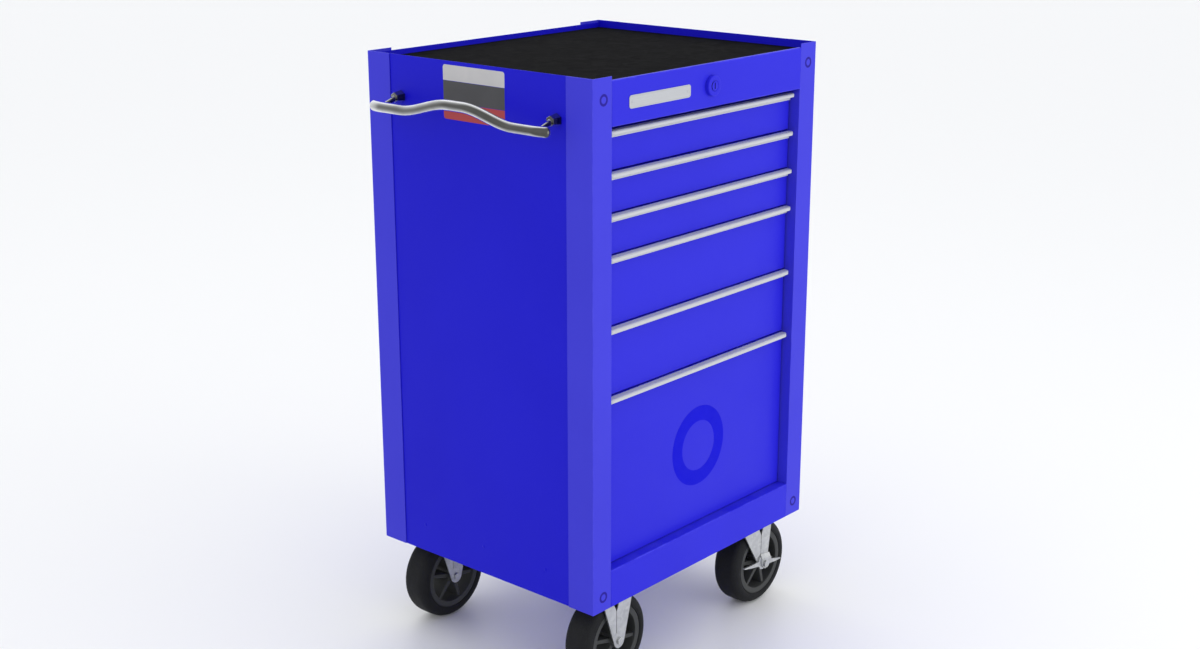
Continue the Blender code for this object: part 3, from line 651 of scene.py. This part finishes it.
def make_racks():
    """Slide racks, and the rivets that hold them to the side panels."""
    for side, out in (("left", -1), ("right", 1)):
        node = f"{side}_slide_rack"
        low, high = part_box(node)
        bm = copy_of(node)
        soften(bm, 0.00025, 1)
        piece(f"{node}_steel", bm, [SLIDE], "cabinet", [node], even=True)
        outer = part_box(f"{side}_side_panel")
        x = outer[0].x if out < 0 else outer[1].x
        length = high.y - low.y
        points = [
            (x, low.y + length * share, z)
            for share in (0.16, 0.5, 0.84)
            for z in (low.z + 0.001, high.z - 0.001)
        ]
        name = f"{side}_side_rivets"
        heads = rivets(points, (out, 0, 0), 0.0034, 0.0010)
        piece(name, heads, [SHADED_PANEL_BLUE], "cabinet")


def make_top_mat():
    low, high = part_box("top_mat")
    middle = (low + high) / 2
    size = high - low
    bm = rounded_plate(size.x, size.y, size.z, 0.004)
    top = [edge for edge in bm.edges if min(vert.co.z for vert in edge.verts) > size.z * 0.9]
    round_edges(bm, top, 0.0010, 3)
    bm.transform(Matrix.Translation((middle.x, middle.y, low.z)))
    piece("top_mat_pad", bm, [MAT], "cabinet", ["top_mat"], even=True)


# Nameplate: its size, its corners, and its middle from the post's left edge and the header's top
NAMEPLATE_WIDE = 0.170
NAMEPLATE_HIGH = 0.023
NAMEPLATE_CORNER = 0.0055
NAMEPLATE_IN = 0.180
NAMEPLATE_DOWN = 0.0425


def make_nameplate():
    """A blank plate with a raised rim and two small rivets."""
    low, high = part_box("header_panel")
    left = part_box("front_left_post")[0].x
    middle = Vector((left + NAMEPLATE_IN, low.y, high.z - NAMEPLATE_DOWN))
    bm = rounded_plate(NAMEPLATE_WIDE, NAMEPLATE_HIGH, PLATE, NAMEPLATE_CORNER)
    bm.normal_update()
    front = [face for face in bm.faces if face.normal.z > 0.9]
    bmesh.ops.inset_region(bm, faces=front, thickness=0.0012, depth=0)
    bmesh.ops.inset_region(bm, faces=front, thickness=0.0006, depth=-0.0005)
    for end in (-1, 1):
        rivet_x = end * (NAMEPLATE_WIDE / 2 - 0.0080)
        add_to(bm, rivets([(rivet_x, 0, PLATE * 0.6)], (0, 0, 1), 0.0022, 0.0008))
    bm.transform(facing(middle, (0, -1, 0)))
    piece("nameplate", bm, [NAMEPLATE], "cabinet")


# Marks: (outer, inner) radii, and places in from the posts' outer edges and up from their feet
DRAWER_RING = (0.080, 0.050)
DRAWER_RING_IN = 0.335
DRAWER_RING_UP = 0.232
POST_RING = (0.0105, 0.0062)
POST_RING_IN_LEFT = 0.0285
POST_RING_IN_RIGHT = 0.0250
POST_RINGS_UP = (0.0275, 0.942)


def make_marks():
    """Plain rings of film: a large one on the bottom drawer, a small one at each end of the front posts."""
    out = (0, -1, 0)
    drawer_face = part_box("drawer_6_front")[0].y
    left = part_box("front_left_post")
    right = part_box("front_right_post")
    face, foot = left[0].y, left[0].z
    centre = (left[0].x + DRAWER_RING_IN, drawer_face, foot + DRAWER_RING_UP)
    bm = ring_mark(centre, *DRAWER_RING, out)
    piece("drawer_6_mark", bm, [DRAWER_MARK], "drawer_6")
    bm = bmesh.new()
    for x in (left[0].x + POST_RING_IN_LEFT, right[1].x - POST_RING_IN_RIGHT):
        for up in POST_RINGS_UP:
            add_to(bm, ring_mark((x, face, foot + up), *POST_RING, out))
    piece("post_marks", bm, [POST_MARK], "cabinet")


# Label: its width, its corners, its middle behind the post's face, and (name, finish, lower and
# upper edge above the side panel's foot, which end has round corners) of each band
LABEL_WIDE = 0.153
LABEL_CORNER = 0.005
LABEL_BACK = 0.2815
LABEL_BANDS = (
    ("light", LABEL_LIGHT, 0.945, 0.973, 1),
    ("dark", LABEL_DARK, 0.9055, 0.9445, 0),
    ("foot", LABEL_RED, 0.875, 0.905, -1),
)


def make_label():
    """A blank three-band label on the left side, below the top edge."""
    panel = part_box("left_side_panel")[0]
    centre_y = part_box("front_left_post")[0].y + LABEL_BACK
    for label, material, start, end, round_end in LABEL_BANDS:
        bm = bmesh.new()
        bmesh.ops.create_grid(bm, x_segments=1, y_segments=1, size=0.5)
        bmesh.ops.scale(bm, vec=(end - start, LABEL_WIDE, 1), verts=bm.verts)
        corners = [vert for vert in bm.verts if vert.co.x * round_end > 0]
        if corners:
            bmesh.ops.bevel(
                bm,
                geom=corners,
                offset=LABEL_CORNER,
                segments=5,
                profile=0.5,
                affect="VERTICES",
                material=-1,
            )
        raise_film(bm)
        stand = Matrix.Translation((panel.x, centre_y, panel.z + (start + end) / 2))
        bm.transform(stand @ Matrix.Rotation(-math.pi / 2, 4, "Y"))
        piece(f"side_label_{label}", bm, [material], "cabinet")


# ---- drawers --------------------------------------------------------------------------


def make_drawers():
    for number in range(1, 7):
        body = f"drawer_{number}"
        folded(f"{body}_front", LIT_FRONT_BLUE, PANEL_SHEET, PANEL_FOLD, None)
        make_pull(body)
        make_drawer_box(body)


def make_pull(body):
    bm = copy_of(f"{body}_pull")
    soften(bm, 0.0006, 3)
    piece(f"{body}_pull_bar", bm, [PULL], body, [f"{body}_pull"], even=True)


def make_drawer_box(body):
    """The tray with bright runners, a foam liner, and the screws behind the front."""
    node = f"{body}_box"
    low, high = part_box(node)
    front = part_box(f"{body}_front")
    middle = (low.x + high.x) / 2
    half = (front[1].x - front[0].x) / 2 - 0.0095
    bm = copy_of(node)
    soften(bm, 0.00025, 1)
    for face in bm.faces:
        if abs(face.calc_center_median().x - middle) > half + 0.0002:
            face.material_index = 1
    piece(f"{node}_tray", bm, [SHADED_PANEL_BLUE, SLIDE], body, [node], even=True)
    room = half - BOX_SHEET - 0.0006
    floor = low.z + BOX_SHEET + 0.0002
    back = high.y - 0.012 - BOX_SHEET - 0.0006
    liner = rounded_plate(2 * room, back - low.y - BOX_SHEET - 0.0006, 0.0022, 0.004)
    liner.transform(Matrix.Translation((middle, (back + low.y + BOX_SHEET) / 2, floor)))
    piece(f"{body}_liner", liner, [LINER], body)
    height = (high.z + low.z) / 2
    points = [(middle + share * half, low.y + BOX_SHEET, height) for share in (-0.85, -0.3, 0.3, 0.85)]
    piece(f"{body}_screws", rivets(points, (0, 1, 0), 0.0036, 0.0015), [ZINC], body)


# ---- lock -----------------------------------------------------------------------------


BEZEL_BORE = 0.0088
KEYWAY_DEEP = 0.006


def make_lock():
    """A painted boss with a rounded rim, the barrel with its key slot, and the bar behind."""
    low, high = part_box("lock_bezel")
    barrel_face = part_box("lock_cylinder")[0].y
    middle = (low + high) / 2
    radius = (high.z - low.z) / 2
    depth = high.y - low.y
    bore = BEZEL_BORE
    rim = [(radius, 0), (radius, depth * 0.30)]
    for step in range(7):
        angle = math.radians(step * 15)
        rim.append((radius - 0.0020 + 0.0020 * math.cos(angle), depth - 0.0020 + 0.0020 * math.sin(angle)))
    mouth = [(bore + 0.0020, depth), (bore + 0.0010, depth - 0.0010), (bore, depth - 0.0014), (bore, 0)]
    bm = turned(rim + mouth, 96)
    bm.transform(facing((middle.x, high.y, middle.z), (0, -1, 0)))
    piece("lock_bezel_boss", bm, [LIT_FRONT_BLUE], "cabinet", ["lock_bezel"])
    bm = copy_of("lock_cylinder")
    soften(bm, 0.0003, 2)
    for face in bm.faces:
        centre = face.calc_center_median()
        from_axis = math.hypot(centre.x - middle.x, centre.z - middle.z)
        if centre.y < barrel_face + 0.0002:
            face.material_index = 0
        # The key slot's walls take the near-black painted shade.
        elif centre.y < barrel_face + KEYWAY_DEEP and from_axis < bore * 0.8:
            face.material_index = 2
        else:
            face.material_index = 1
    piece("lock_barrel", bm, [LIT_FRONT_BLUE, CHROME, KEYWAY_SHADE], "lock_cylinder", ["lock_cylinder"])
    bm = copy_of("lock_bar")
    soften(bm, 0.0004)
    piece("lock_bar_steel", bm, [SLIDE], "lock_bar", ["lock_bar"], even=True)


# ---- handle ---------------------------------------------------------------------------

HANDLE_RADIUS = 0.0100
HANDLE_HALF = 0.221
HANDLE_RISE = 0.022
TURN_IN = 0.012
TIP_LONG = 0.0070
PATH_STEPS = 110


def ease(value):
    value = min(max(value, 0.0), 1.0)
    return value * value * (3 - 2 * value)


def make_handle():
    """A chrome bar with a raised middle, its tips turned in and rounded off."""
    low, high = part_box("handle_tube")
    middle_y = (low.y + high.y) / 2
    axis_x, axis_z = low.x + HANDLE_RADIUS, low.z + HANDLE_RADIUS
    path, radii = [], []
    for index in range(PATH_STEPS + 1):
        share = -math.cos(math.pi * index / PATH_STEPS)
        along = HANDLE_HALF * share
        rise = HANDLE_RISE * (1 - ease((abs(along) - 0.018) / 0.122))
        turn_in = TURN_IN * ease((abs(along) - 0.190) / 0.062)
        path.append(Vector((axis_x + turn_in, middle_y + along, axis_z + rise)))
        into_tip = max(0.0, abs(along) - (HANDLE_HALF - TIP_LONG)) / TIP_LONG
        radii.append(HANDLE_RADIUS * max(0.02, math.sqrt(max(0.0, 1 - into_tip**2))))
    bm = swept(path, radii, 40)
    piece("handle_bar", bm, [CHROME], "cabinet", ["handle_tube"], sharp=60)
    for end in ("front", "rear"):
        node = f"handle_bracket_{end}"
        bm = copy_of(node)
        soften(bm, 0.0007, 3, 24)
        piece(f"{node}_casting", bm, [CHROME], "cabinet", [node], even=True)


# ---- casters --------------------------------------------------------------------------

SHOULDER = 0.0160
CROWN = 0.0003
RIM_RADIUS = 0.0681
RIM_INSIDE = 0.0560
HUB_RADIUS = 0.0150
BORE = 0.0053
SPOKES = 6
SPOKE_TURN = math.radians(12)


def tyre_section(radius, half):
    """(radius, place along the axle) round the tyre: bead, rim line, side wall, shoulder, crowned tread."""
    side = [
        (RIM_RADIUS, half - 0.0020),
        (RIM_RADIUS + 0.0004, half - 0.0006),
        (RIM_RADIUS + 0.0016, half - 0.0002),
        (RIM_RADIUS + 0.0024, half - 0.0009),
        (RIM_RADIUS + 0.0032, half - 0.0002),
        (radius - SHOULDER, half),
    ]
    for step in range(1, 13):
        angle = math.radians(90 - step * 7.5)
        out = radius - CROWN - SHOULDER + SHOULDER * math.cos(angle)
        side.append((out, half - SHOULDER + SHOULDER * math.sin(angle)))
    tread = [(radius, half * 0.15)]
    near = side + tread
    return near + [(r, -along) for r, along in reversed(near)]


def rim_section(half):
    face = half - 0.0016
    near = [
        (RIM_RADIUS, face - 0.0008),
        (RIM_RADIUS - 0.0008, face),
        (RIM_INSIDE + 0.0026, face),
        (RIM_INSIDE + 0.0009, face - 0.0008),
        (RIM_INSIDE, face - 0.0030),
    ]
    return near + [(r, -along) for r, along in reversed(near)]


def hub_section(half):
    end = half + 0.0010
    near = [
        (BORE, end),
        (HUB_RADIUS - 0.0030, end),
        (HUB_RADIUS - 0.0008, end - 0.0008),
        (HUB_RADIUS, end - 0.0030),
        (HUB_RADIUS + 0.0012, end - 0.0120),
    ]
    return near + [(r, -along) for r, along in reversed(near)]


def spoke(half):
    """A deep spoke, thicker at the hub, its edges rounded."""
    face = half - 0.0040
    bm = block((HUB_RADIUS - 0.0015, -0.0036, -face), (RIM_INSIDE + 0.0015, 0.0036, face))
    at_hub = [vert for vert in bm.verts if vert.co.x < RIM_INSIDE / 2]
    bmesh.ops.scale(bm, vec=(1, 1.25, 1.0), verts=at_hub)
    at_rim = [vert for vert in bm.verts if vert.co.x > RIM_INSIDE / 2]
    bmesh.ops.scale(bm, vec=(1, 1.0, 0.93), verts=at_rim)
    long_edges = [edge for edge in bm.edges if abs(edge.verts[0].co.x - edge.verts[1].co.x) > 0.01]
    round_edges(bm, long_edges, 0.0014, 3)
    return bm


def make_wheel(label):
    """Tyre and core on the wheel's own body."""
    low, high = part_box(f"{label}_tyre")
    middle = (low + high) / 2
    radius, half = (high.z - low.z) / 2, (high.y - low.y) / 2
    stand = facing(middle, (0, 1, 0))
    body = body_of(f"{label}_tyre")
    bm = turned(tyre_section(radius, half), 128)
    bm.transform(stand)
    piece(f"{label}_tyre_rubber", bm, [TYRE], body, [f"{label}_tyre"], sharp=50)
    bm = turned(rim_section(half), 96)
    add_to(bm, turned(hub_section(half), 64))
    for index in range(SPOKES):
        turn = Matrix.Rotation(SPOKE_TURN + 2 * math.pi * index / SPOKES, 4, "Z")
        add_to(bm, spoke(half), turn)
    bm.transform(stand)
    piece(f"{label}_wheel_moulding", bm, [WHEEL], body, [f"{label}_wheel_core"], even=True)


def make_zinc(node, name, width):
    bm = copy_of(node)
    soften(bm, width)
    return piece(name, bm, [ZINC], body_of(node), [node], even=True)


def make_plate_bolts(label, node):
    """Four bolts through the caster's plate, heads down."""
    low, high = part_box(node)
    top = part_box("base_pan")[0].z
    under = top - 0.0053
    middle_x = (low.x + high.x) / 2
    middle_y = (low.y + high.y) / 2
    points = [(middle_x + x * 0.0440, middle_y + y * 0.0400, under) for x in (-1, 1) for y in (-1, 1)]
    piece(f"{label}_plate_bolts", bolts(points, (0, 0, -1), 0.0060, 0.0050), [ZINC], "cabinet")


def make_casters():
    for end in ("front", "rear"):
        right, left = f"{end}_right_caster", f"{end}_left_caster"
        for label in (right, left):
            make_wheel(label)
            make_zinc(f"{label}_axle", f"{label}_axle_bolt", 0.0005)
        make_zinc(f"{right}_top_plate", f"{right}_plate_steel", 0.0006)
        make_zinc(f"{right}_fork", f"{right}_fork_steel", 0.0006)
        make_zinc(f"{right}_brake_lever", f"{right}_lever_steel", 0.0004)
        make_zinc(f"{left}_frame", f"{left}_frame_steel", 0.0006)
        make_plate_bolts(right, f"{right}_top_plate")
        make_plate_bolts(left, f"{left}_frame")


# ---- studio ---------------------------------------------------------------------------


FLOOR_GREY = 0.86
SKY_STRENGTH = 1.08
LENS = 50.94
SENSOR = 36
CAMERA_AT = (-2.4207, -2.1255, 1.5862)
CAMERA_TILT = 73.321
CAMERA_TURN = -49.148


def make_floor():
    bm = bmesh.new()
    bmesh.ops.create_grid(bm, x_segments=1, y_segments=1, size=60)
    mesh = bpy.data.meshes.new("floor")
    bm.to_mesh(mesh)
    bm.free()
    material = bpy.data.materials.new("pale_floor")
    material.use_nodes = True
    shader = material.node_tree.nodes["Principled BSDF"]
    shader.inputs["Base Color"].default_value = colour(FLOOR_GREY, FLOOR_GREY, FLOOR_GREY)
    shader.inputs["Roughness"].default_value = 0.4
    mesh.materials.append(material)
    floor = bpy.data.objects.new("floor", mesh)
    SCENE.collection.objects.link(floor)


def make_world():
    world = bpy.data.worlds.new("studio")
    world.use_nodes = True
    sky = world.node_tree.nodes["Background"].inputs
    sky["Color"].default_value = colour(0.97, 0.98, 1.0)
    sky["Strength"].default_value = SKY_STRENGTH
    SCENE.world = world


def make_light(name, place_at, look_at, width, power):
    data = bpy.data.lights.new(name, "AREA")
    data.shape = "SQUARE"
    data.size = width
    data.energy = power
    light = bpy.data.objects.new(name, data)
    light.location = place_at
    light.rotation_euler = (Vector(look_at) - Vector(place_at)).to_track_quat("-Z", "Y").to_euler()
    light.visible_camera = False
    SCENE.collection.objects.link(light)


def make_studio():
    make_floor()
    make_world()
    chest = (0.03, 0.0, 0.6)
    make_light("front_softbox", (0.9, -3.4, 1.15), chest, 2.2, 30)
    make_light("top_softbox", (0.6, 1.2, 4.2), chest, 3.2, 12)
    SCENE.view_settings.view_transform = "Standard"
    data = bpy.data.cameras.new("camera")
    data.lens = LENS
    data.sensor_width = SENSOR
    camera = bpy.data.objects.new("camera", data)
    camera.location = CAMERA_AT
    camera.rotation_euler = (math.radians(CAMERA_TILT), 0, math.radians(CAMERA_TURN))
    SCENE.collection.objects.link(camera)
    SCENE.camera = camera


make_studio()
make_cabinet_sheets()
make_back()
make_racks()
make_top_mat()
make_nameplate()
make_marks()
make_label()
make_drawers()
make_lock()
make_handle()
make_casters()
